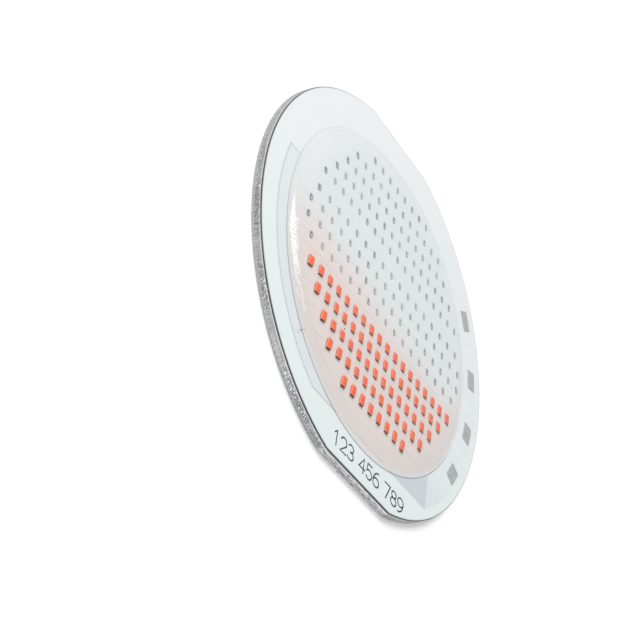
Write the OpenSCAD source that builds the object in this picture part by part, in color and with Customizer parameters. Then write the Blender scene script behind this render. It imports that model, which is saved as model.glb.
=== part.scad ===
// Round chip-on-board LED light engine with three colour zones.
// An aluminium-core circuit board carries 206 flip chips in three zones. Each row of chips
// bridges the gap between two copper strips, so a zone is a series string of parallel rows.
// The three strings share one common net and each has a feed of its own, and the four nets
// end in four tinned wire pads on the rim. A low dome of clear silicone covers all the chips.
//
// Frame: origin at the centre of the back face, +Z out of the lit face, +X along the chip
// rows towards the wire pads, +Y towards the blue zone. All sizes are in millimetres.

/* [Board] */
// Diameter of the board
board_d = 62; // [55:0.5:72]
// How deep each of the two flats cuts into the round outline
flat_depth = 1.1; // [0.6:0.1:2]
// Thickness of the whole board, without the dome
board_t = 1.5; // [1.2:0.1:3]
// Thickness of the insulating layer on the aluminium
dielectric_t = 0.12; // [0.08:0.01:0.15]
// Thickness of the copper
copper_t = 0.05; // [0.04:0.005:0.07]
// Thickness of the white mask over the copper
mask_t = 0.05; // [0.035:0.005:0.06]
// How far the mask sinks where there is no copper below it
mask_sink = 0.03; // [0.01:0.005:0.03]
// Bare rim left between the edge of the mask and the edge of the board
mask_setback = 0.15; // [0.05:0.05:0.4]
// Chamfer round the punched edge of the aluminium
edge_chamfer = 0.08; // [0.02:0.01:0.15]
// How far the snapped web stands out between the two score marks of a flat
score_depth = 0.14; // [0.05:0.01:0.2]
// Height of each score mark on a flat
score_h = 0.38; // [0.2:0.02:0.42]

/* [Chip layout] */
// Distance from the end chips of the widest green row to the edge of the dome
green_end_margin = 3.92; // [3.4:0.02:5]
// Distance from the end chips of the widest blue and red rows to the edge of the dome, sideways
outer_end_margin = 5.96; // [5.4:0.02:7]
// Distance from the outermost blue and red rows to the edge of the dome
last_row_margin = 5.57; // [5:0.01:6.5]
// Spacing of the rows in the green zone
green_row_pitch = 2.76; // [2.4:0.01:3.1]
// Distance from the last green row to the first blue or red row
zone_gap = 3.77; // [3.3:0.01:4.2]

/* [Chips] */
// Width of a clear chip, along its row
clear_chip_w = 0.5; // [0.4:0.05:0.7]
// Length of a clear chip, across its row
clear_chip_l = 1; // [0.9:0.05:1.2]
// Height of a clear chip
clear_chip_h = 0.15; // [0.1:0.01:0.3]
// Width of a red chip, along its row
red_chip_w = 0.9; // [0.6:0.05:1.1]
// Length of a red chip, across its row
red_chip_l = 1.45; // [1.2:0.05:1.6]
// Height of a red chip
red_chip_h = 0.35; // [0.2:0.01:0.5]
// Bare edge of a chip round its two solder joints
joint_inset = 0.05; // [0.03:0.01:0.08]

/* [Copper] */
// Gap between two strips, under a row of chips
strip_gap = 0.3; // [0.2:0.05:0.35]
// How far the strips run on past the outermost chip corner
strip_margin = 0.8; // [0.5:0.1:1]
// Gap between the ends of the strips and the ring of the bus and the feeds
ring_gap = 0.5; // [0.3:0.05:0.6]
// Gap between two feeds that run side by side
feed_gap = 0.35; // [0.25:0.05:0.4]
// Bare laminate between the nets on the pad side and the edge of the board
net_margin = 1.6; // [1.2:0.1:2]
// Bare laminate between the common bus and the edge of the board on the side away from the pads
bus_margin = 3.6; // [2.6:0.1:4.4]
// Width of the strip without copper along the lower flat, where the legend is printed
legend_strip_w = 6.03; // [5.4:0.03:6.6]
// How far the end of the common bus stays below the first blue row
bus_top_drop = 0.86; // [0.5:0.02:1.2]

/* [Wire pads] */
// Angle between neighbouring pads
pad_step = 20; // [17:0.5:23]
// Size of a pad along the rim
pad_w = 3.3; // [2.5:0.1:3.8]
// Size of a pad towards the centre
pad_l = 2.2; // [1.6:0.1:2.6]
// Corner radius of a pad
pad_corner_r = 0.35; // [0.1:0.05:0.6]
// Copper left between a pad and the outer edge of its net
pad_border = 0.4; // [0.2:0.05:0.6]
// Thickness of the tin on a pad
tin_t = 0.04; // [0.02:0.005:0.05]

/* [Dome] */
// Bare rim of the board outside the dome
rim_w = 6; // [5:0.1:7]
// Height of the dome above the mask
dome_h = 1.8; // [1:0.1:3]
// Width of the rounded border of the dome
dome_edge = 4.2; // [2:0.1:6]
// Fullness of the rounded border: 1 is a straight bevel, 2 a quarter ellipse
dome_power = 1.7; // [1.4:0.1:2.4]

/* [Hidden] */
$fn = 96;

// Chips in each row: blue and red from the green zone outwards, green from +Y to -Y.
OUTER_COUNTS = [18, 16, 14, 12, 8];
GREEN_COUNTS = [17, 18, 18, 17];
outer_rows = len(OUTER_COUNTS);
green_rows = len(GREEN_COUNTS);

// Levels of the layers above the back face.
cut = 0.01;
board_r = board_d / 2;
flat_y = board_r - flat_depth;
dome_r = board_r - rim_w;
base_t = board_t - dielectric_t - copper_t - mask_t;
copper_z = base_t + dielectric_t;
land_z = copper_z + copper_t;

// Chip lattice: the widest rows set the spacing along a row, the outermost rows the spacing
// of the blue and red rows. Row 1 of those two zones is the one next to the green zone.
green_pitch = 2 * (dome_r - green_end_margin) / (max(GREEN_COUNTS) - 1);
outer_pitch = 2 * (dome_r - outer_end_margin) / (max(OUTER_COUNTS) - 1);
first_green_y = (green_rows - 1) / 2 * green_row_pitch;
outer_row_pitch = (dome_r - last_row_margin - first_green_y - zone_gap) / (outer_rows - 1);
function green_y(row) = first_green_y - (row - 1) * green_row_pitch;
function blue_y(row) = first_green_y + zone_gap + (row - 1) * outer_row_pitch;
function red_y(row) = -blue_y(row);

// Edges of the strips on both sides of a row.
half_gap = strip_gap / 2;
function above(y) = y + half_gap;
function below(y) = y - half_gap;

// Farthest chip corner of all rows, from the centre.
function row_reach(count, pitch, y, w, l) = norm([(count - 1) / 2 * pitch + w / 2, abs(y) + l / 2]);
outer_chip_w = max(clear_chip_w, red_chip_w);
outer_chip_l = max(clear_chip_l, red_chip_l);
chip_reach = max(concat(
    [for (row = [1 : outer_rows])
        row_reach(OUTER_COUNTS[row - 1], outer_pitch, blue_y(row), outer_chip_w, outer_chip_l)],
    [for (row = [1 : green_rows])
        row_reach(GREEN_COUNTS[row - 1], green_pitch, green_y(row), clear_chip_w, clear_chip_l)]
));

// Radii of the copper, from the strips outwards.
strip_end_r = chip_reach + strip_margin;
ring_in_r = strip_end_r + ring_gap;
lead_overlap = 0.9;
lead_in_r = ring_in_r + lead_overlap;
net_out_r = board_r - net_margin;
bus_out_r = board_r - bus_margin;
pad_r = net_out_r - pad_border - pad_l / 2;
outer_feed_in_r = pad_r - pad_l / 2 - pad_border;
inner_feed_r = outer_feed_in_r - feed_gap;

// Levels where the nets end.
bus_low_y = flat_y - legend_strip_w;
bus_top_y = blue_y(1) - bus_top_drop;
feed_split_y = (green_y(green_rows) + red_y(1)) / 2;
green_feed_low = feed_split_y + feed_gap / 2;
red_feed_high = feed_split_y - feed_gap / 2;

// Angles of the pads and of the ends of the feeds round the ring, from +X.
net_spacing = 3;
net_half = (pad_step - net_spacing) / 2;
lead_turn = 3.4;
blue_ring_end = asin(above(blue_y(outer_rows)) / lead_in_r) + lead_turn;
green_ring_end = asin(green_feed_low / inner_feed_r);
red_ring_start = asin(red_feed_high / ring_in_r);

BLUE_PAD = 0;
GREEN_PAD = 1;
RED_PAD = 2;
COMMON_PAD = 3;
function pad_angle(index) = (COMMON_PAD / 2 - index) * pad_step;

DOME_STEPS = 18;

// ---------------------------------------------------------------- outlines

// Disc with two flats.
module board_outline(inset = 0) {
    intersection() {
        circle(r = board_r - inset);
        square([board_d, 2 * (flat_y - inset)], center = true);
    }
}

// Part of a ring between two angles, less than half a turn apart.
module ring_sector(inner_r, outer_r, start, end) {
    reach = 2 * outer_r;
    middle = (start + end) / 2;
    intersection() {
        difference() {
            circle(r = outer_r);
            circle(r = inner_r);
        }
        polygon([
            [0, 0],
            reach * [cos(start), sin(start)],
            reach * [cos(middle), sin(middle)],
            reach * [cos(end), sin(end)]
        ]);
    }
}

// Level band of a disc, from y = low to y = high.
module disc_band(r, low, high) {
    intersection() {
        circle(r = r);
        translate([-r, low]) square([2 * r, high - low]);
    }
}

// The half of a level band on one side: side is -1 for -X and 1 for +X.
module half_band(r, low, high, side) {
    intersection() {
        circle(r = r);
        translate([side < 0 ? -r : 0, low]) square([r, high - low]);
    }
}

module rounded_rectangle(w, l, r) {
    square([w - 2 * r, l], center = true);
    square([w, l - 2 * r], center = true);
    for (x = [-1, 1], y = [-1, 1])
        translate([x * (w / 2 - r), y * (l / 2 - r)]) circle(r = r, $fn = 32);
}

module pad_outline(index) {
    rotate(pad_angle(index)) translate([pad_r, 0])
        rounded_rectangle(pad_l, pad_w, pad_corner_r);
}

// ---------------------------------------------------------------- copper nets

// Strips that join each row of a zone to the next one; ys lists the rows from high to low.
module link_outlines(ys) {
    for (i = [0 : len(ys) - 2])
        disc_band(strip_end_r, above(ys[i + 1]), below(ys[i]));
}

module blue_link_outlines() link_outlines([for (row = [outer_rows : -1 : 1]) blue_y(row)]);
module green_link_outlines() link_outlines([for (row = [1 : green_rows]) green_y(row)]);
module red_link_outlines() link_outlines([for (row = [1 : outer_rows]) red_y(row)]);

// From the common pad round the bottom and up the far side, with the last strip of the red
// zone and the strip between the green and the blue zone.
module common_outline() {
    intersection() {
        ring_sector(ring_in_r, net_out_r, -90, pad_angle(COMMON_PAD) + net_half);
        translate([0, -bus_low_y]) square(board_d);
    }
    disc_band(bus_out_r, -bus_low_y, below(red_y(outer_rows)));
    difference() {
        half_band(bus_out_r, -bus_low_y, bus_top_y, -1);
        circle(r = ring_in_r);
    }
    disc_band(strip_end_r, above(green_y(1)), below(blue_y(1)));
    half_band(lead_in_r, above(green_y(1)), bus_top_y, -1);
}

// From the first pad round the ring to the outermost strip of the blue zone.
module blue_feed_outline() {
    ring_sector(ring_in_r, net_out_r, pad_angle(BLUE_PAD) - net_half, blue_ring_end);
    disc_band(lead_in_r, above(blue_y(outer_rows)), lead_in_r);
}

// From the second pad down inside the third one to the last strip of the green zone.
module green_feed_outline() {
    high = below(green_y(green_rows));
    ring_sector(ring_in_r, net_out_r,
                pad_angle(GREEN_PAD) - net_half, pad_angle(GREEN_PAD) + net_half);
    ring_sector(ring_in_r, inner_feed_r, green_ring_end, pad_angle(GREEN_PAD));
    disc_band(strip_end_r, green_feed_low, high);
    half_band(lead_in_r, green_feed_low, high, 1);
}

// From the third pad to the first strip of the red zone.
module red_feed_outline() {
    low = above(red_y(1));
    ring_sector(outer_feed_in_r, net_out_r,
                pad_angle(RED_PAD) - net_half, pad_angle(RED_PAD) + net_half);
    ring_sector(ring_in_r, net_out_r, pad_angle(RED_PAD) - net_half, red_ring_start);
    disc_band(strip_end_r, low, red_feed_high);
    half_band(lead_in_r, low, red_feed_high, 1);
}

module all_copper_outlines() {
    common_outline();
    blue_feed_outline();
    green_feed_outline();
    red_feed_outline();
    blue_link_outlines();
    green_link_outlines();
    red_link_outlines();
}

module copper_sheet() {
    color("peru") translate([0, 0, copper_z]) linear_extrude(copper_t) children();
}

// ---------------------------------------------------------------- chips and joints

// Places its child at every chip of a row that is centred on x = 0.
module along_row(count, pitch, y) {
    for (i = [0 : count - 1])
        translate([(i - (count - 1) / 2) * pitch, y]) children();
}

module chip(w, l, h) {
    translate([-w / 2, -l / 2, board_t]) cube([w, l, h]);
}

// The two solder joints of a chip, one on each side of the gap between the strips.
module joint_outlines(w, l) {
    joint_l = (l - strip_gap) / 2 - joint_inset;
    joint_w = w - 2 * joint_inset;
    for (side = [-1, 1])
        translate([0, side * (half_gap + joint_l / 2)]) square([joint_w, joint_l], center = true);
}

module blue_joint_outlines() {
    for (row = [1 : outer_rows])
        along_row(OUTER_COUNTS[row - 1], outer_pitch, blue_y(row))
            joint_outlines(clear_chip_w, clear_chip_l);
}

module green_joint_outlines() {
    for (row = [1 : green_rows])
        along_row(GREEN_COUNTS[row - 1], green_pitch, green_y(row))
            joint_outlines(clear_chip_w, clear_chip_l);
}

module red_joint_outlines() {
    for (row = [1 : outer_rows])
        along_row(OUTER_COUNTS[row - 1], outer_pitch, red_y(row))
            joint_outlines(red_chip_w, red_chip_l);
}

module solder_in_windows() {
    color("silver") translate([0, 0, land_z]) linear_extrude(mask_t) children();
}

module blue_row(row) {
    color("lightsteelblue") along_row(OUTER_COUNTS[row - 1], outer_pitch, blue_y(row))
        chip(clear_chip_w, clear_chip_l, clear_chip_h);
}

module green_row(row) {
    color("darkseagreen") along_row(GREEN_COUNTS[row - 1], green_pitch, green_y(row))
        chip(clear_chip_w, clear_chip_l, clear_chip_h);
}

module red_row(row) {
    color("orangered") along_row(OUTER_COUNTS[row - 1], outer_pitch, red_y(row))
        chip(red_chip_w, red_chip_l, red_chip_h);
}

module all_chips() {
    for (row = [1 : outer_rows]) {
        blue_row(row);
        red_row(row);
    }
    for (row = [1 : green_rows])
        green_row(row);
}

// ---------------------------------------------------------------- board layers

// Punched disc with chamfered edges; each flat was scored from both faces and snapped.
module base_plate() {
    flat_half = flat_y + score_depth;
    color("gainsboro") intersection() {
        rotate_extrude() polygon([
            [0, 0],
            [board_r - edge_chamfer, 0],
            [board_r, edge_chamfer],
            [board_r, base_t - edge_chamfer],
            [board_r - edge_chamfer, base_t],
            [0, base_t]
        ]);
        rotate([90, 0, 90]) linear_extrude(board_d, center = true) polygon([
            [-flat_y, 0],
            [flat_y, 0],
            [flat_half, score_h],
            [flat_half, base_t - score_h],
            [flat_y, base_t],
            [-flat_y, base_t],
            [-flat_half, base_t - score_h],
            [-flat_half, score_h]
        ]);
    }
}

module dielectric_layer() {
    color("dimgray") translate([0, 0, base_t]) linear_extrude(dielectric_t)
        board_outline(edge_chamfer);
}

// White mask: it covers the copper, sinks a little between the nets, and has a window at
// every solder joint and every wire pad.
module solder_mask() {
    color("white") difference() {
        translate([0, 0, copper_z]) union() {
            linear_extrude(copper_t + mask_t - mask_sink) board_outline(mask_setback);
            linear_extrude(copper_t + mask_t) all_copper_outlines();
        }
        translate([0, 0, copper_z - cut]) linear_extrude(copper_t + cut) all_copper_outlines();
        translate([0, 0, copper_z]) linear_extrude(copper_t + mask_t + cut) {
            blue_joint_outlines();
            green_joint_outlines();
            red_joint_outlines();
            for (index = [BLUE_PAD : COMMON_PAD])
                pad_outline(index);
        }
    }
}

// Tin coat of a wire pad, lying in its window on the copper.
module tinned_pad(index) {
    color("darkgray") translate([0, 0, land_z]) linear_extrude(tin_t) pad_outline(index);
}

// ---------------------------------------------------------------- dome

// Section of the dome, from the axis out to the contact line and back along the mask.
module dome_section() {
    border = [for (i = [0 : DOME_STEPS])
        let (turn = 90 * i / DOME_STEPS)
        [
            dome_r - dome_edge + dome_edge * pow(sin(turn), 2 / dome_power),
            board_t + dome_h * pow(cos(turn), 2 / dome_power)
        ]
    ];
    polygon(concat([[0, board_t], [0, board_t + dome_h]], border));
}

// Clear silicone: it fills the sunk lines of the mask and closes round every chip.
module encapsulant() {
    color("lightcyan", 0.4) difference() {
        union() {
            rotate_extrude() dome_section();
            translate([0, 0, board_t - mask_sink]) linear_extrude(mask_sink) difference() {
                circle(r = dome_r);
                all_copper_outlines();
            }
        }
        all_chips();
    }
}

// ---------------------------------------------------------------- drawing

base_plate();
dielectric_layer();
copper_sheet() common_outline();  // copper_common
copper_sheet() blue_feed_outline();  // copper_blue_feed
copper_sheet() green_feed_outline();  // copper_green_feed
copper_sheet() red_feed_outline();  // copper_red_feed
copper_sheet() blue_link_outlines();  // copper_blue_links
copper_sheet() green_link_outlines();  // copper_green_links
copper_sheet() red_link_outlines();  // copper_red_links
solder_mask();
tinned_pad(BLUE_PAD);  // pad_blue
tinned_pad(GREEN_PAD);  // pad_green
tinned_pad(RED_PAD);  // pad_red
tinned_pad(COMMON_PAD);  // pad_common
solder_in_windows() blue_joint_outlines();  // blue_joints
solder_in_windows() green_joint_outlines();  // green_joints
solder_in_windows() red_joint_outlines();  // red_joints
blue_row(1);  // blue_row_1
blue_row(2);  // blue_row_2
blue_row(3);  // blue_row_3
blue_row(4);  // blue_row_4
blue_row(5);  // blue_row_5
green_row(1);  // green_row_1
green_row(2);  // green_row_2
green_row(3);  // green_row_3
green_row(4);  // green_row_4
red_row(1);  // red_row_1
red_row(2);  // red_row_2
red_row(3);  // red_row_3
red_row(4);  // red_row_4
red_row(5);  // red_row_5
encapsulant();
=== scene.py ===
"""Looks of a round three-colour chip-on-board LED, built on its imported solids."""

import math
import random

import bmesh
import bpy
from mathutils import Matrix, Quaternion, Vector, noise


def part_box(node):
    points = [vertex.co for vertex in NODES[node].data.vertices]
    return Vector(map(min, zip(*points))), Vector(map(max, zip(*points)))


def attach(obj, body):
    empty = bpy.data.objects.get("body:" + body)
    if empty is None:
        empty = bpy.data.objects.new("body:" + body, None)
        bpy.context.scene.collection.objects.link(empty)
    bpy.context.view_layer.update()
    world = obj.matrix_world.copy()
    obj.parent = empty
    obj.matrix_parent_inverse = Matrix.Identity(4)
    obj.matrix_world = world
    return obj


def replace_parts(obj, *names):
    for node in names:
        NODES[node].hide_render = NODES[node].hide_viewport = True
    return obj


MM = 0.001

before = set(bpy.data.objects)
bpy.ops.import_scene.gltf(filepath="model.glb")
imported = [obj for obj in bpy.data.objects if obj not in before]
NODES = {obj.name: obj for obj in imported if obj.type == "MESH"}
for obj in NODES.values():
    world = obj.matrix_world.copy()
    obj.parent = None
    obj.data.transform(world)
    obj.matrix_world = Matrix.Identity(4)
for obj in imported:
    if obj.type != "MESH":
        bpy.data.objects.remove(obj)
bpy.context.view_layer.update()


# ------------------------------------------------------------------ sizes from the frame

def span(node):
    """Lowest and highest corner of a node, in millimetres."""
    low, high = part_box(node)
    return low / MM, high / MM


PLATE_HIGH = span("base_plate")[1]
MASK_HIGH = span("solder_mask")[1]
BUS_LOW = span("copper_common")[0]
DOME_LOW, DOME_HIGH = span("encapsulant")

BOARD_R = PLATE_HIGH.x
BUS_R = -BUS_LOW.x
BUS_TOP_Y = 7.05
BUS_BOTTOM_Y = BUS_LOW.y
PLATE_T = PLATE_HIGH.z
FLAT_Y = 29.9
WEB_Y = PLATE_HIGH.y
SCORE_DEPTH = 0.38
MASK_Z = MASK_HIGH.z
SUNK_Z = DOME_LOW.z
DOME_R = DOME_HIGH.x
DOME_Z = DOME_HIGH.z
DOME_BORDER = 5.2
DOME_POWER = 1.6
CLEAR_BEVEL = 0.015
RED_BEVEL = 0.03
RED_COAT = 0.12


# ------------------------------------------------------------------ shader maths

class Wire:
    """A value or colour on its way through a material, with its arithmetic as operators."""

    def __init__(self, finish, socket):
        self.finish = finish
        self.socket = socket

    def calc(self, operation, *others):
        values = dict(enumerate((self, *others)))
        return self.finish.add("ShaderNodeMath", {"operation": operation}, values)

    def __add__(self, other):
        return self.calc("ADD", other)

    def __radd__(self, other):
        return self.calc("ADD", other)

    def __sub__(self, other):
        return self.calc("SUBTRACT", other)

    def __rsub__(self, other):
        return self.finish.add("ShaderNodeMath", {"operation": "SUBTRACT"}, {0: other, 1: self})

    def __mul__(self, other):
        return self.calc("MULTIPLY", other)

    def __rmul__(self, other):
        return self.calc("MULTIPLY", other)

    def __truediv__(self, other):
        return self.calc("DIVIDE", other)

    def __pow__(self, other):
        return self.calc("POWER", other)

    def __abs__(self):
        return self.calc("ABSOLUTE")

    def at_most(self, other):
        return self.calc("MINIMUM", other)

    def at_least(self, other):
        return self.calc("MAXIMUM", other)

    def rise(self, start, end):
        """0 below start, 1 above end and a smooth rise between them; start may be the larger."""
        settings = {"interpolation_type": "SMOOTHSTEP"}
        if start < end:
            return self.finish.add("ShaderNodeMapRange", settings, {0: self, 1: start, 2: end})
        values = {0: self, 1: end, 2: start, 3: 1.0, 4: 0.0}
        return self.finish.add("ShaderNodeMapRange", settings, values)


class Finish:
    """A node material. Places in it are in millimetres, in the frame of the part."""

    def __init__(self, name, **constants):
        self.material = bpy.data.materials.new(name)
        self.material.use_nodes = True
        self.tree = self.material.node_tree
        self.tree.nodes.clear()
        self.output = self.tree.nodes.new("ShaderNodeOutputMaterial")
        self.shader = self.tree.nodes.new("ShaderNodeBsdfPrincipled")
        self.surface(Wire(self, self.shader.outputs[0]))
        for socket, value in constants.items():
            self.shader.inputs[socket.replace("_", " ")].default_value = value
        place = self.add("ShaderNodeTexCoord", out="Object")
        self.place = self.add("ShaderNodeVectorMath", {"operation": "SCALE"}, {0: place, "Scale": 1 / MM})
        split = self.add("ShaderNodeSeparateXYZ", {}, {0: self.place}).socket.node
        self.x, self.y, self.z = (Wire(self, output) for output in split.outputs)

    def feed(self, socket, value):
        if isinstance(value, Wire):
            self.tree.links.new(value.socket, socket)
        elif isinstance(value, tuple) and len(value) == 3 and socket.type == "RGBA":
            socket.default_value = (*value, 1.0)
        else:
            socket.default_value = value

    def add(self, kind, settings=None, values=None, out=0):
        """Adds a node: first its settings, then the values or wires of its sockets."""
        node = self.tree.nodes.new(kind)
        for name, value in (settings or {}).items():
            setattr(node, name, value)
        for socket, value in (values or {}).items():
            self.feed(node.inputs[socket], value)
        return Wire(self, node.outputs[out])

    def mix(self, factor, first, second):
        """Colour that goes from first to second as factor goes from 0 to 1."""
        return self.add("ShaderNodeMix", {"data_type": "RGBA"}, {0: factor, 6: first, 7: second}, out=2)

    def vector(self, x, y, z):
        return self.add("ShaderNodeCombineXYZ", {}, {0: x, 1: y, 2: z})

    def grain(self, per_mm, detail=3.0, roughness=0.5, place=None):
        """Noise from 0 to 1 with about per_mm blotches to the millimetre."""
        values = {
            "Vector": place or self.place,
            "Scale": per_mm,
            "Detail": detail,
            "Roughness": roughness,
        }
        return self.add("ShaderNodeTexNoise", {}, values)

    def surface(self, shader):
        self.feed(self.output.inputs["Surface"], shader)

    def radius(self):
        return (self.x * self.x + self.y * self.y) ** 0.5

    def angle(self):
        """Turn round the axis of the part, in degrees from +X, from -180 to 180."""
        return self.y.calc("ARCTAN2", self.x) * math.degrees(1)

    def colour(self, value):
        self.feed(self.shader.inputs["Base Color"], value)

    def rough(self, value):
        self.feed(self.shader.inputs["Roughness"], value)

    def relief(self, height_mm):
        """Bumps the surface by a height in millimetres."""
        values = {"Height": height_mm * MM, "Strength": 1.0, "Distance": 1.0}
        bump = self.add("ShaderNodeBump", {}, values)
        self.feed(self.shader.inputs["Normal"], bump)


def dress(piece, finish):
    """Gives a new piece its finish and makes it ride with the board."""
    piece.data.materials.clear()
    piece.data.materials.append(finish.material)
    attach(piece, "root")
    return piece


def dress_node(name, finish):
    """Gives a node of the frame its finish."""
    for place in NODES[name].material_slots:
        place.material = finish.material


# ------------------------------------------------------------------ mesh helpers

def make_piece(name, shape, smooth_below=40.0):
    """Object from a bmesh that is in millimetres; edges flatter than smooth_below are smooth."""
    bmesh.ops.scale(shape, vec=(MM, MM, MM), verts=shape.verts)
    bmesh.ops.recalc_face_normals(shape, faces=shape.faces)
    limit = math.radians(smooth_below)
    for face in shape.faces:
        face.smooth = True
    for edge in shape.edges:
        if len(edge.link_faces) == 2:
            edge.smooth = edge.calc_face_angle() < limit
    mesh = bpy.data.meshes.new(name)
    shape.to_mesh(mesh)
    shape.free()
    piece = bpy.data.objects.new(name, mesh)
    bpy.context.scene.collection.objects.link(piece)
    return piece


def skin_rings(shape, rings):
    """Joins closed rings of points with quads and closes the ends."""
    loops = [[shape.verts.new(point) for point in ring] for ring in rings]
    count = len(loops[0])
    for lower, upper in zip(loops, loops[1:]):
        for i in range(count):
            j = (i + 1) % count
            shape.faces.new((lower[i], lower[j], upper[j], upper[i]))
    shape.faces.new(list(reversed(loops[0])))
    shape.faces.new(loops[-1])


def islands(node):
    """Lowest and highest corner, in millimetres, of each separate solid in a node."""
    shape = bmesh.new()
    shape.from_mesh(NODES[node].data)
    bmesh.ops.remove_doubles(shape, verts=shape.verts, dist=1e-7)
    waiting = set(shape.verts)
    boxes = []
    while waiting:
        group = [waiting.pop()]
        low = group[0].co.copy()
        high = group[0].co.copy()
        while group:
            vert = group.pop()
            low = Vector(map(min, low, vert.co))
            high = Vector(map(max, high, vert.co))
            for edge in vert.link_edges:
                other = edge.other_vert(vert)
                if other in waiting:
                    waiting.remove(other)
                    group.append(other)
        boxes.append((low / MM, high / MM))
    shape.free()
    return sorted(boxes, key=lambda box: (box[0].x, box[0].y))


# ------------------------------------------------------------------ aluminium core

def rim_angles():
    """Angles round the board, closer together where the round edge meets the flats."""
    corner = math.degrees(math.asin(FLAT_Y / BOARD_R))
    corners = [corner, 180 - corner, 180 + corner, 360 - corner]
    angles = [i * 0.5 for i in range(720)]
    for place in corners:
        angles += [place + step * 0.1 for step in range(-25, 26)]
    angles.sort()
    kept = [angles[0]]
    for angle in angles[1:]:
        if angle - kept[-1] > 0.05:
            kept.append(angle)
    return [math.radians(angle) for angle in kept]


def torn(angle, z):
    """How far the torn part of the punched edge stands in, in millimetres."""
    across = Vector((math.cos(angle) * 55, math.sin(angle) * 55, z * 3))
    along = Vector((math.cos(angle) * 14, math.sin(angle) * 14, z))
    return 0.012 * noise.noise(across) + 0.012 * noise.noise(along)


def core_plate():
    """Punched plate: rolled lower edge, smooth sheared band, torn band; flats scored and snapped."""
    round_profile = [
        (0.000, -0.16), (0.012, -0.07), (0.05, -0.02), (0.12, 0.0), (0.30, 0.0), (0.48, 0.0),
        (0.56, -0.015), (0.70, -0.03), (0.84, -0.03), (0.96, -0.025), (1.10, -0.02),
        (PLATE_T - 0.08, -0.01), (PLATE_T - 0.02, -0.05), (PLATE_T, -0.09),
    ]
    score = WEB_Y - FLAT_Y

    def flat_half(z):
        if z < SCORE_DEPTH:
            return FLAT_Y + score * z / SCORE_DEPTH
        if z > PLATE_T - SCORE_DEPTH:
            return FLAT_Y + score * (PLATE_T - z) / SCORE_DEPTH
        return WEB_Y

    rings = []
    angles = rim_angles()
    for z, inset in round_profile:
        ring = []
        for angle in angles:
            edge_r = BOARD_R + inset
            if 0.5 < z < PLATE_T - 0.03:
                edge_r -= 0.012 + abs(torn(angle, z))
            half = flat_half(z)
            if SCORE_DEPTH < z < PLATE_T - SCORE_DEPTH:
                half -= abs(torn(angle, z))
            reach = edge_r
            if abs(math.sin(angle)) * edge_r > half:
                reach = half / abs(math.sin(angle))
            ring.append(Vector((reach * math.cos(angle), reach * math.sin(angle), z)))
        rings.append(ring)
    shape = bmesh.new()
    skin_rings(shape, rings)
    piece = make_piece("core_plate", shape, 30.0)
    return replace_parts(piece, "base_plate")


def aluminium_finish():
    """Matte back, smooth sheared band and a speckled torn band with a few bright tears, and a painted
    highlight along the top of the edge.
    """
    finish = Finish("aluminium_core", Metallic=1.0)
    run = finish.angle() * (math.radians(1) * BOARD_R)
    fine = finish.grain(6.0, 4.0, 0.6)
    back = finish.grain(0.35, 5.0, 0.55)
    tears = finish.grain(3.4, 5.0, 0.75, finish.vector(run, 0.0, finish.z * 1.4))
    shards = finish.grain(5.5, 3.0, 0.6, finish.vector(run + finish.z * 0.8, 0.0, finish.z * 0.45))
    streaks = finish.grain(8.0, 2.0, 0.5, finish.vector(run, 0.0, finish.z * 0.12))
    patches = finish.grain(0.16, 2.0, 0.5).rise(0.40, 0.58)
    side = finish.z.rise(0.01, 0.03) * finish.z.rise(PLATE_T - 0.01, PLATE_T - 0.05)
    lower_side = (finish.y + finish.x * 0.4).rise(0.0, -16.0)
    on_flat = abs(finish.y).rise(FLAT_Y - 0.2, FLAT_Y - 0.05)
    torn_band = finish.z.rise(0.36, 0.52) * (0.3 + patches * 0.7) * (0.25 + lower_side * 0.75)
    web = on_flat * finish.z.rise(0.34, 0.42) * finish.z.rise(0.96, 0.88)
    torn_band = torn_band * (1 - on_flat)
    body = finish.mix(back.rise(0.3, 0.7), (0.60, 0.61, 0.62), (0.68, 0.685, 0.69))
    sheared = finish.mix(streaks.rise(0.3, 0.7), (0.42, 0.425, 0.43), (0.66, 0.665, 0.67))
    metal = finish.mix(side, body, sheared)
    metal = finish.mix(torn_band * 0.6, metal, (0.24, 0.243, 0.247))
    metal = finish.mix(tears.rise(0.46, 0.38) * torn_band * 0.75, metal, (0.07, 0.072, 0.074))
    bright = shards.rise(0.53, 0.60) * torn_band * (1 - on_flat * 0.5)
    metal = finish.mix(bright, metal, (0.97, 0.97, 0.96))
    # Painted highlight: a paler band along the top of the edge, where its rounded top corner catches the
    # light.
    painted_lip_highlight = side * finish.z.rise(PLATE_T - 0.22, PLATE_T - 0.10)
    metal = finish.mix(painted_lip_highlight * 0.7, metal, (0.86, 0.86, 0.86))
    dashes = finish.grain(1.7, 4.0, 0.7, finish.vector(run * 0.45, 0.0, finish.z * 2.6))
    cut = finish.mix(dashes.rise(0.40, 0.56), (0.55, 0.56, 0.57), (0.97, 0.97, 0.97))
    cut = finish.mix(dashes.rise(0.38, 0.33), cut, (0.05, 0.052, 0.054))
    snapped = finish.mix(dashes.rise(0.40, 0.60), (0.22, 0.225, 0.23), (0.72, 0.72, 0.72))
    metal = finish.mix(on_flat * side, metal, finish.mix(web * 0.85, cut, snapped))
    finish.colour(metal)
    finish.rough(0.40 + torn_band * 0.15 + fine * 0.12 - bright * 0.2)
    tearing = (tears + shards) * torn_band * 0.04
    finish.relief(fine * 0.006 + streaks * side * 0.012 + tearing + dashes * web * 0.05)
    return finish


# ------------------------------------------------------------------ laminate layers

def dielectric_finish():
    """Filled resin, dark grey, with pale filler grains."""
    finish = Finish("dielectric")
    grains = finish.grain(9.0, 3.0, 0.6)
    finish.colour(finish.mix(grains.rise(0.55, 0.7), (0.035, 0.037, 0.036), (0.10, 0.105, 0.10)))
    finish.rough(0.55 + grains * 0.2)
    finish.relief(grains * 0.01)
    return finish


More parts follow.
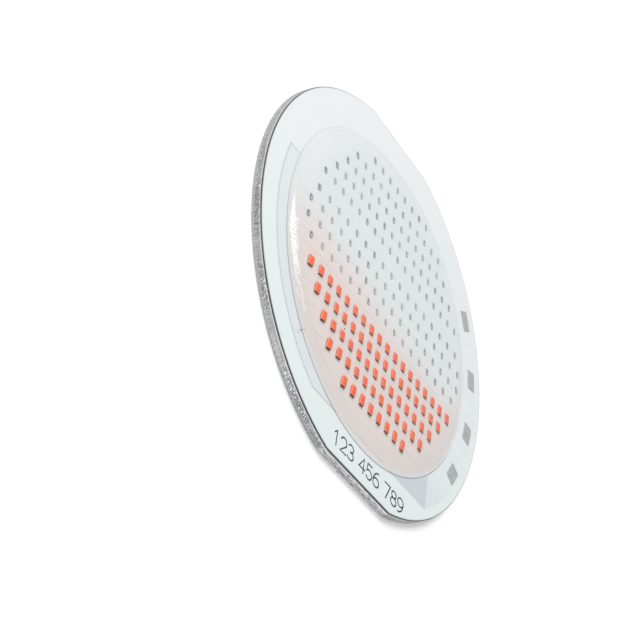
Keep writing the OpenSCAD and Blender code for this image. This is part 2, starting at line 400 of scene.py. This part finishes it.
def copper_finish():
    finish = Finish("etched_copper", Metallic=1.0)
    grains = finish.grain(5.0, 4.0, 0.6)
    finish.colour(finish.mix(grains, (0.56, 0.27, 0.16), (0.80, 0.46, 0.32)))
    finish.rough(0.3 + grains * 0.2)
    finish.relief(grains * 0.004)
    return finish


def solder_finish():
    finish = Finish("reflowed_solder", Metallic=1.0)
    grains = finish.grain(4.0, 3.0, 0.5)
    finish.colour(finish.mix(grains, (0.42, 0.42, 0.43), (0.62, 0.62, 0.63)))
    finish.rough(0.25 + grains * 0.2)
    finish.relief(grains * 0.006)
    return finish


def mask_finish():
    """White satin mask, tinted where copper lies below it; its colours shift, and over copper darken,
    towards the bottom. Painted on it: red bounce light under the dome, light and shade along the dome's
    border, a shade line round the dome's edge and a shade line along the edge of the copper, for the slope
    of the mask there.
    """
    finish = Finish("white_mask", Specular_IOR_Level=0.4)
    reach = finish.radius()
    under_dome = reach.rise(DOME_R + 0.3, DOME_R - 1.0)
    on_copper = finish.z.rise(SUNK_Z + 0.01, SUNK_Z + 0.02)
    cloud = finish.grain(0.09, 2.0, 0.5)
    peel = finish.grain(2.2, 2.0, 0.5)
    lower = (finish.y + cloud * 6.0).rise(18.0, -14.0)
    quiet = finish.x.rise(4.0, 14.0) * finish.y.rise(-22.0, -16.0)
    plain = finish.mix(lower, (0.80, 0.83, 0.845), (0.775, 0.84, 0.84))
    coated = finish.mix(lower, (0.745, 0.80, 0.82), (0.712, 0.768, 0.805))
    coated = finish.mix(quiet * 0.65, coated, plain)
    white = finish.mix(on_copper, plain, coated)
    # Painted light: under the dome the mask is tinted pink around the red chips, as red light bounced from
    # them.
    painted_red_bounce = (finish.y + finish.x * 0.1 + cloud * 5.0).rise(4.5, -6.0)
    inner = finish.mix(painted_red_bounce, (0.74, 0.79, 0.805), (0.78, 0.685, 0.655))
    # Painted reflection along the dome's border: painted light at the back and painted shade at the front,
    # where the sloping silicone reflects darker surroundings.
    border = reach.rise(20.0, 23.5)
    front = finish.mix(lower, (0.82, 0.84, 0.85), (0.68, 0.645, 0.625))
    inner = finish.mix(border * 0.75, inner, front)
    body = finish.mix(under_dome, white, inner)
    # Painted shade: a dark line round the dome's edge, stronger towards the bottom, for the contact shadow
    # and the dark the silicone's edge refracts.
    painted_edge_shade = reach.rise(DOME_R - 0.25, DOME_R) * reach.rise(DOME_R + 0.26, DOME_R + 0.04)
    body = finish.mix(painted_edge_shade * (0.18 + lower * 0.62), body, (0.26, 0.27, 0.28))
    # Painted shade: a dark line along the edge of the copper under the mask, on the lower left only, for
    # the shading of the mask's slope over that edge.
    bus_edge = (reach - BUS_R).at_least(finish.y - BUS_TOP_Y) * finish.x.rise(0.5, -0.5)
    bus_edge = bus_edge.at_least(BUS_BOTTOM_Y - finish.y)
    painted_bus_shade = abs(bus_edge + 0.08).rise(0.24, 0.04) * finish.x.rise(17.5, 17.0)
    painted_bus_shade = painted_bus_shade * reach.rise(DOME_R, DOME_R + 0.2) * (finish.x + finish.y).rise(0.0, -2.0)
    body = finish.mix(painted_bus_shade * 0.5, body, (0.44, 0.50, 0.54))
    rim = reach.rise(BOARD_R - 0.34, BOARD_R - 0.16)
    rim = rim.at_least(abs(finish.y).rise(FLAT_Y - 0.34, FLAT_Y - 0.16))
    finish.colour(finish.mix(rim * 0.75, body, (0.30, 0.31, 0.32)))
    finish.rough(0.34 + peel * 0.08)
    finish.relief(peel * 0.004 + cloud * 0.05)
    return finish


# ------------------------------------------------------------------ wire pads

def wire_pad(node):
    """Tin that wets its window: flat in the middle, rounded down to the mask at its edge."""
    low, high = span(node)
    centre = (low + high) / 2
    turn = math.atan2(centre.y, centre.x)
    box_w = high.x - low.x
    box_l = high.y - low.y
    cos_t, sin_t = abs(math.cos(turn)), abs(math.sin(turn))
    overlap = 0.16
    length = (box_l * cos_t - box_w * sin_t) / (cos_t * cos_t - sin_t * sin_t) + overlap
    width = (box_w - (length - overlap) * sin_t) / cos_t + overlap
    corner = 0.5
    rings = []
    for inset, z in ((0.0, low.z), (0.0, high.z - 0.005), (0.05, high.z + 0.022),
                     (0.16, high.z + 0.042), (0.34, high.z + 0.052), (0.6, high.z + 0.055)):
        rings.append(rounded_ring(width / 2 - inset, length / 2 - inset, max(corner - inset, 0.08), z))
    place = Matrix.Translation((centre.x, centre.y, 0)) @ Matrix.Rotation(turn, 4, "Z")
    rings = [[place @ point for point in ring] for ring in rings]
    shape = bmesh.new()
    skin_rings(shape, rings)
    piece = make_piece(node + "_tin", shape, 60.0)
    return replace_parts(piece, node)


def rounded_ring(half_w, half_l, corner, z, steps=6):
    """Ring of points round a rectangle with rounded corners."""
    ring = []
    for quarter, (sx, sy) in enumerate(((1, 1), (-1, 1), (-1, -1), (1, -1))):
        for step in range(steps + 1):
            turn = math.radians(90 * (quarter + step / steps))
            ring.append(Vector((
                sx * (half_w - corner) + corner * math.cos(turn),
                sy * (half_l - corner) + corner * math.sin(turn),
                z,
            )))
    return ring


def tin_finish():
    finish = Finish("dull_tin", Metallic=0.6)
    grains = finish.grain(1.6, 4.0, 0.6)
    frost = finish.grain(7.0, 3.0, 0.6)
    finish.colour(finish.mix(grains.rise(0.3, 0.7), (0.50, 0.53, 0.53), (0.62, 0.64, 0.64)))
    finish.rough(0.38 + grains * 0.15)
    finish.relief(grains * 0.03 + frost * 0.006)
    return finish


# ------------------------------------------------------------------ chips

def add_chip(shape, low, high, bevel, sink):
    """Block with bevelled top edges, from just below low.z to high.z; its UVs are 0 to 1 across it."""
    centre = (low + high) / 2
    half_w = (high.x - low.x) / 2
    half_l = (high.y - low.y) / 2
    rings = []
    for inset, z in ((0.0, low.z - sink), (0.0, high.z - bevel), (bevel * 0.3, high.z - bevel * 0.3),
                     (bevel, high.z)):
        ring = rounded_ring(half_w - inset, half_l - inset, 0.05, z, 3)
        rings.append([point + Vector((centre.x, centre.y, 0)) for point in ring])
    first = len(shape.faces)
    skin_rings(shape, rings)
    shape.faces.ensure_lookup_table()
    across = shape.loops.layers.uv.verify()
    for face in shape.faces[first:]:
        for loop in face.loops:
            place = loop.vert.co - low
            loop[across].uv = (place.x / (2 * half_w), place.y / (2 * half_l))


def chip_row(node, bevel, coat=0.0):
    """One row of chips, where its solids are, with a coat of phosphor resin on them if any."""
    shape = bmesh.new()
    for low, high in islands(node):
        add_chip(shape, low, high + Vector((0, 0, coat)), bevel, 0.02)
    piece = make_piece(node + "_chips", shape, 50.0)
    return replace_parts(piece, node)


def clear_chip_finish(name, shade, light):
    """Polished sapphire over bright contacts, with the dark frame and split of the contacts; its walls
    carry painted shade.
    """
    finish = Finish(name, Coat_Weight=0.6, Coat_Roughness=0.05)
    chance = finish.add("ShaderNodeNewGeometry", out="Random Per Island")
    local = finish.add("ShaderNodeSeparateXYZ", {}, {0: finish.add("ShaderNodeUVMap")}).socket.node
    u, v = (Wire(finish, local.outputs[axis]) for axis in (0, 1))
    from_side = u.at_most(1 - u) * 0.5
    from_end = v.at_most(1 - v)
    frame_line = from_side.at_most(from_end).rise(0.10, 0.05)
    split = abs(v - (0.46 + chance * 0.08)).rise(0.10, 0.04) * u.rise(0.95, 0.80)
    spot_u = (u - (0.22 + chance * 0.12)) * 0.5
    spot_v = v - (0.62 + chance * 0.1)
    spot = ((spot_u * spot_u + spot_v * spot_v) ** 0.5).rise(0.17, 0.10)
    dark = frame_line.at_least(split * 0.8).at_least(spot)
    haze = finish.grain(1.1, 3.0, 0.6).rise(0.3, 0.7)
    tone = finish.mix(haze * 0.5 + chance * 0.5, light, shade)
    # Painted shade: the walls of the chip are darkened below its top.
    side = finish.z.rise(DOME_LOW.z + 0.17, DOME_LOW.z + 0.12)
    finish.colour(finish.mix(dark.at_least(side) * (0.6 + chance * 0.3), tone, (0.15, 0.16, 0.17)))
    finish.rough(0.25)
    finish.relief(haze * 0.01)
    return finish


def red_chip_finish():
    """Orange-red phosphor face; its walls carry painted light and shade: dark, with the -X wall pale as a
    painted reflection and the -Y wall and the foot of every wall darker as painted shade.
    """
    finish = Finish("red_chip", Coat_Weight=0.3, Coat_Roughness=0.2)
    low, high = span("red_row_1")
    chance = finish.add("ShaderNodeNewGeometry", out="Random Per Island")
    cloud = finish.grain(1.7, 3.0, 0.55).rise(0.3, 0.7)
    facing = finish.add("ShaderNodeTexCoord", out="Normal")
    facing = finish.add("ShaderNodeSeparateXYZ", {}, {0: facing}).socket.node
    toward_x, toward_y, upward = (Wire(finish, output) for output in facing.outputs)
    face = finish.mix(cloud * 0.6 + chance * 0.4, (1.0, 0.085, 0.010), (0.98, 0.150, 0.030))
    # Painted light and shade on the walls: the -X wall pale as a painted reflection of the bright room, the
    # others dark as painted shade.
    painted_wall = finish.mix(toward_x.rise(-0.35, -0.75), (0.16, 0.030, 0.015), (0.86, 0.42, 0.33))
    # Painted shade: the -Y wall, turned away from the lamps, darker still.
    painted_wall = finish.mix(toward_y.rise(-0.45, -0.75), painted_wall, (0.045, 0.018, 0.012))
    # Painted shadow at the foot of every wall.
    painted_wall = finish.mix(finish.z.rise(low.z + 0.16, low.z + 0.08), painted_wall, (0.035, 0.016, 0.012))
    finish.colour(finish.mix(upward.rise(0.25, 0.6), painted_wall, face))
    finish.rough(0.35 + cloud * 0.1)
    finish.relief(cloud * 0.01)
    return finish


# ------------------------------------------------------------------ dome

def dome_height(reach):
    """Height of the silicone over the mask at a distance from the axis."""
    share = (reach - (DOME_R - DOME_BORDER)) / DOME_BORDER
    if share <= 0:
        return DOME_Z - MASK_Z
    return (DOME_Z - MASK_Z) * max(0.0, 1 - share ** DOME_POWER) ** (1 / DOME_POWER)


def clear_dome():
    """The casting over the chips, with its faint unevenness; its underside lies in the board."""
    turns = 240
    flat_r = DOME_R - DOME_BORDER
    reaches = [flat_r * i / 12 for i in range(1, 13)]
    reaches += [flat_r + DOME_BORDER * math.sin(math.radians(90 * i / 26)) for i in range(1, 27)]
    shape = bmesh.new()
    rings = [[], []]
    for i in range(turns):
        turn = 2 * math.pi * i / turns
        rings[0].append(Vector((DOME_R * math.cos(turn), DOME_R * math.sin(turn), MASK_Z - 0.25)))
        rings[1].append(Vector((DOME_R * math.cos(turn), DOME_R * math.sin(turn), SUNK_Z - 0.02)))
    for reach in reversed(reaches):
        ring = []
        for i in range(turns):
            turn = 2 * math.pi * i / turns
            x, y = reach * math.cos(turn), reach * math.sin(turn)
            height = dome_height(reach)
            sway = 0.035 * noise.noise(Vector((x * 0.13, y * 0.13, 3.0)))
            sway += 0.008 * noise.noise(Vector((x * 0.6, y * 0.6, 8.0)))
            height += (sway - 0.035) * min(1.0, height / (DOME_Z - MASK_Z))
            ring.append(Vector((x, y, MASK_Z + height)))
        rings.append(ring)
    skin_rings(shape, rings)
    piece = make_piece("clear_dome", shape, 70.0)
    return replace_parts(piece, "encapsulant")


def silicone_finish():
    """Clear cast silicone. Light for what lies under it passes straight; the border is scuffed, and where
    the lamp's highlight lies on it the scuffs are painted white as a painted highlight.
    """
    finish = Finish("clear_silicone", Transmission_Weight=1.0, IOR=1.41)
    finish.shader.inputs["Base Color"].default_value = (0.985, 0.985, 0.985, 1.0)
    fine = finish.grain(0.8, 3.0, 0.5)
    finish.rough(0.02 + fine * 0.03)
    reach = finish.radius()
    turn = finish.angle()
    round_place = finish.vector(reach, turn * 0.42, 0.0)
    ragged = finish.grain(2.6, 4.0, 0.75, finish.vector(reach * 1.6, turn * 0.16, 0.0))
    wander = finish.grain(0.25, 2.0, 0.5)
    ring = reach + wander * 1.6
    scuffed = ring.rise(24.3, 24.8) * ring.rise(25.6, 25.1)
    scuffed = scuffed * turn.rise(-174.0, -168.0) * turn.rise(-136.0, -146.0)
    scratch = finish.grain(1.4, 5.0, 0.7, round_place)
    # Painted highlight on real scuffs: white marks where the scratches on the border catch the key lamp's
    # light.
    painted_scuff_glints = scuffed * ragged.rise(0.50, 0.60)
    finish.relief(fine * 0.006 + scuffed * ragged * 0.03 + scratch.rise(0.62, 0.70) * scuffed * 0.02)
    painted_glint_white = finish.add("ShaderNodeBsdfDiffuse", {}, {"Color": (0.97, 0.97, 0.97)})
    path = finish.add("ShaderNodeLightPath").socket.node
    passing = Wire(finish, path.outputs["Is Shadow Ray"])
    passing = passing.at_least(Wire(finish, path.outputs["Is Diffuse Ray"]))
    clear = finish.add("ShaderNodeBsdfTransparent", {}, {"Color": (1.0, 1.0, 1.0)})
    glass = Wire(finish, finish.shader.outputs[0])
    marked = finish.add("ShaderNodeMixShader", {}, {0: painted_scuff_glints * 0.85, 1: glass, 2: painted_glint_white})
    whole = finish.add("ShaderNodeMixShader", {}, {0: passing, 1: marked, 2: clear})
    finish.surface(whole)
    return finish


# ------------------------------------------------------------------ print

def arc_points(cx, cy, rx, ry, start, end, steps=10):
    return [
        (cx + rx * math.cos(math.radians(start + (end - start) * i / steps)),
         cy + ry * math.sin(math.radians(start + (end - start) * i / steps)))
        for i in range(steps + 1)
    ]


def digit_strokes(digit):
    """Strokes of a plain digit in a box 0.74 wide and 1 high."""
    bowl = arc_points(0.37, 0.30, 0.35, 0.30, 0, 360, 18)
    return {
        1: [[(0.16, 0.78), (0.40, 1.0), (0.40, 0.0)]],
        2: [arc_points(0.37, 0.70, 0.33, 0.30, 165, -38) + [(0.04, 0.0), (0.72, 0.0)]],
        3: [arc_points(0.34, 0.75, 0.30, 0.25, 150, -90) + arc_points(0.34, 0.27, 0.36, 0.27, 90, -150)],
        4: [[(0.54, 0.0), (0.54, 1.0), (0.02, 0.30), (0.74, 0.30)]],
        5: [[(0.66, 1.0), (0.14, 1.0), (0.08, 0.52)] + arc_points(0.35, 0.32, 0.35, 0.32, 130, -145)],
        6: [bowl, arc_points(0.62, 0.30, 0.60, 0.70, 90, 180)],
        7: [[(0.02, 1.0), (0.72, 1.0), (0.28, 0.0)]],
        8: [arc_points(0.37, 0.76, 0.28, 0.24, 0, 360, 16), arc_points(0.37, 0.27, 0.35, 0.27, 0, 360, 18)],
        9: [[(0.74 - x, 1 - y) for x, y in bowl],
            [(0.74 - x, 1 - y) for x, y in arc_points(0.62, 0.30, 0.60, 0.70, 90, 180)]],
    }[digit]


def add_stroke(shape, points, width, z, thick):
    """Flat ribbon with rounded ends along a line of points."""
    half = width / 2
    line = [Vector((x, y)) for x, y in points]
    left, right = [], []
    for i, point in enumerate(line):
        before = line[max(i - 1, 0)]
        after = line[min(i + 1, len(line) - 1)]
        first = (point - before).normalized() if (point - before).length > 1e-9 else None
        last = (after - point).normalized() if (after - point).length > 1e-9 else None
        course = ((first or last) + (last or first)).normalized()
        side = Vector((-course.y, course.x))
        lean = side.dot(Vector((-(first or last).y, (first or last).x)))
        side = side * (half / max(lean, 0.5))
        left.append(point + side)
        right.append(point - side)
    for a, b in zip(range(len(line) - 1), range(1, len(line))):
        quad = [left[a], right[a], right[b], left[b]]
        add_slab(shape, quad, z, thick)
    for end in (line[0], line[-1]):
        cap = [end + Vector((half * math.cos(t), half * math.sin(t)))
               for t in (math.radians(30 * i) for i in range(12))]
        add_slab(shape, cap, z + thick * 0.1, thick)


def add_slab(shape, outline, z, thick):
    top = [shape.verts.new((p.x, p.y, z + thick)) for p in outline]
    bottom = [shape.verts.new((p.x, p.y, z)) for p in outline]
    count = len(outline)
    shape.faces.new(top)
    for i in range(count):
        j = (i + 1) % count
        shape.faces.new((bottom[i], bottom[j], top[j], top[i]))


def printed_digits(name, digits, finish, size, width, pitch, place):
    """Digits in a row from the origin of place; None leaves a gap."""
    shape = bmesh.new()
    for i, digit in enumerate(digits):
        if digit is None:
            continue
        for stroke in digit_strokes(digit):
            points = []
            for x, y in stroke:
                spot = place @ Vector((i * pitch + x * size, y * size, 0))
                points.append((spot.x, spot.y))
            add_stroke(shape, points, width, SUNK_Z - 0.002, 0.014)
    return dress(make_piece(name, shape, 20.0), finish)


def ink_finish(name, thin, full):
    """Screen-printed ink with a slightly uneven cover."""
    finish = Finish(name)
    cover = finish.grain(3.0, 3.0, 0.6)
    finish.colour(finish.mix(cover.rise(0.3, 0.6), thin, full))
    finish.rough(0.5 + cover * 0.15)
    finish.relief(cover * 0.004)
    return finish


def dust_specks():
    """A few grains of dust: five in the top of the silicone and two just outside its border."""
    shape = bmesh.new()
    chance = random.Random(7)
    for x, y, size in ((-10.7, -13.2, 0.17), (-4.2, -15.7, 0.14), (18.7, -2.8, 0.12), (-18.2, -18.4, 0.2),
                       (-17.6, -17.9, 0.12), (6.4, 11.2, 0.09), (-2.5, 17.6, 0.08)):
        reach = math.hypot(x, y)
        z = MASK_Z + dome_height(min(reach, DOME_R - 0.3)) - 0.04
        grain = bmesh.ops.create_icosphere(shape, subdivisions=2, radius=size)["verts"]
        turn = Matrix.Rotation(chance.uniform(0, 6.28), 4, "Z")
        stretch = Matrix.Diagonal((1.0, chance.uniform(0.45, 0.7), 0.35, 1.0))
        for vert in grain:
            vert.co *= 1 + 0.35 * noise.noise(vert.co * 12 + Vector((x, y, 0)))
            vert.co = turn @ stretch @ vert.co + Vector((x, y, z))
    return make_piece("dust_specks", shape, 60.0)


# ------------------------------------------------------------------ making the pieces

ALUMINIUM = aluminium_finish()
DIELECTRIC = dielectric_finish()
COPPER = copper_finish()
SOLDER = solder_finish()
MASK = mask_finish()
TIN = tin_finish()
SILICONE = silicone_finish()
BLUE_CHIP = clear_chip_finish("blue_chip", (0.42, 0.46, 0.48), (0.68, 0.72, 0.74))
GREEN_CHIP = clear_chip_finish("green_chip", (0.40, 0.43, 0.43), (0.68, 0.71, 0.70))
RED_CHIP = red_chip_finish()
LEGEND_INK = ink_finish("legend_ink", (0.07, 0.08, 0.08), (0.025, 0.03, 0.03))
FAINT_INK = ink_finish("faint_ink", (0.62, 0.66, 0.67), (0.50, 0.54, 0.55))

dress(core_plate(), ALUMINIUM)
dress_node("base_plate", ALUMINIUM)
dress_node("dielectric_layer", DIELECTRIC)
dress_node("solder_mask", MASK)
for node in NODES:
    if node.startswith("copper_"):
        dress_node(node, COPPER)
    if node.endswith("_joints"):
        dress_node(node, SOLDER)
    if node.startswith("pad_"):
        dress_node(node, TIN)
        dress(wire_pad(node), TIN)
    if node.startswith("blue_row"):
        dress_node(node, BLUE_CHIP)
        dress(chip_row(node, CLEAR_BEVEL), BLUE_CHIP)
    if node.startswith("green_row"):
        dress_node(node, GREEN_CHIP)
        dress(chip_row(node, CLEAR_BEVEL), GREEN_CHIP)
    if node.startswith("red_row"):
        dress_node(node, RED_CHIP)
        dress(chip_row(node, RED_BEVEL, RED_COAT), RED_CHIP)
dress_node("encapsulant", SILICONE)
dress(clear_dome(), SILICONE)
dress(dust_specks(), ink_finish("dust", (0.20, 0.19, 0.18), (0.08, 0.08, 0.08)))

LEGEND_SIZE = 2.18
LEGEND_PITCH = 1.87
LEGEND_LINE = 0.225
LEGEND_Y = -28.2
for group, start in (((1, 2, 3), -7.35), ((4, 5, 6), -0.6), ((7, 8, 9), 6.15)):
    printed_digits(
        "legend_" + "".join(map(str, group)), group, LEGEND_INK,
        LEGEND_SIZE, LEGEND_LINE, LEGEND_PITCH, Matrix.Translation((start, LEGEND_Y, 0)))

for index, node in enumerate(("pad_blue", "pad_green", "pad_red", "pad_common")):
    low, high = span(node)
    centre = (low + high) / 2
    turn = math.atan2(centre.y, centre.x)
    beside = Matrix.Rotation(turn - math.radians(6.4), 4, "Z") @ Matrix.Translation((27.0, -0.7, 0))
    printed_digits("pad_mark_%d" % (index + 1), (index + 1,), FAINT_INK, 1.5, 0.16, 1.3, beside)


# ------------------------------------------------------------------ room, light and camera

def floor():
    mesh = bpy.data.meshes.new("floor")
    size = 3.0
    corners = [(-size, -size, 0), (size, -size, 0), (size, size, 0), (-size, size, 0)]
    mesh.from_pydata(corners, [], [(0, 1, 2, 3)])
    piece = bpy.data.objects.new("floor", mesh)
    bpy.context.scene.collection.objects.link(piece)
    finish = Finish("floor", Roughness=0.9, Specular_IOR_Level=0.1)
    tone = finish.grain(0.01, 2.0, 0.5)
    finish.colour(finish.mix(tone, (0.88, 0.88, 0.88), (0.90, 0.90, 0.90)))
    seen = finish.add("ShaderNodeLightPath", out="Is Camera Ray")
    lift = finish.mix(finish.radius().rise(36.0, 130.0), (0.13, 0.13, 0.13), (0.6, 0.6, 0.6))
    finish.feed(finish.shader.inputs["Emission Color"], finish.mix(seen, (0.0, 0.0, 0.0), lift))
    finish.shader.inputs["Emission Strength"].default_value = 1.0
    mesh.materials.append(finish.material)


def soft_lamp(name, azimuth, elevation, distance, size, power):
    """Square softbox that faces the board; azimuth 0 is on the -Y side."""
    lamp = bpy.data.lights.new(name, "AREA")
    lamp.shape = "SQUARE"
    lamp.size = size
    lamp.energy = power
    box = bpy.data.objects.new(name, lamp)
    a, e = math.radians(azimuth), math.radians(elevation)
    back = Vector((math.sin(a) * math.cos(e), -math.cos(a) * math.cos(e), math.sin(e)))
    box.location = back * distance
    box.rotation_mode = "QUATERNION"
    box.rotation_quaternion = (-back).to_track_quat("-Z", "Y")
    bpy.context.scene.collection.objects.link(box)


def room():
    world = bpy.data.worlds.new("room")
    bpy.context.scene.world = world
    world.use_nodes = True
    shade = world.node_tree.nodes["Background"]
    shade.inputs["Color"].default_value = (1.0, 1.0, 1.0, 1.0)
    shade.inputs["Strength"].default_value = 0.56
    soft_lamp("key_softbox", -140, 61, 0.38, 0.18, 0.80)
    soft_lamp("fill_softbox", -22, 9, 0.5, 0.3, 0.55)


CAMERA_AIM = Vector((-13.99, -13.63, MASK_Z)) * MM
CAMERA_DISTANCE = 210.7 * MM
CAMERA_AZIMUTH = -46.88
CAMERA_ELEVATION = 27.49
CAMERA_ROLL = -75.25
CAMERA_LENS = 92.0


def camera():
    """Looks down on the board from its lower left, rolled so that the legend runs down to the right."""
    view = bpy.data.cameras.new("camera")
    view.lens = CAMERA_LENS
    view.clip_start = 0.01
    view.clip_end = 20.0
    holder = bpy.data.objects.new("camera", view)
    a, e = math.radians(CAMERA_AZIMUTH), math.radians(CAMERA_ELEVATION)
    back = Vector((math.sin(a) * math.cos(e), -math.cos(a) * math.cos(e), math.sin(e)))
    holder.location = CAMERA_AIM + back * CAMERA_DISTANCE
    holder.rotation_mode = "QUATERNION"
    level = (-back).to_track_quat("-Z", "Y")
    holder.rotation_quaternion = level @ Quaternion((0, 0, 1), -math.radians(CAMERA_ROLL))
    bpy.context.scene.collection.objects.link(holder)
    bpy.context.scene.camera = holder


floor()
room()
camera()
bpy.context.scene.view_settings.view_transform = "Standard"
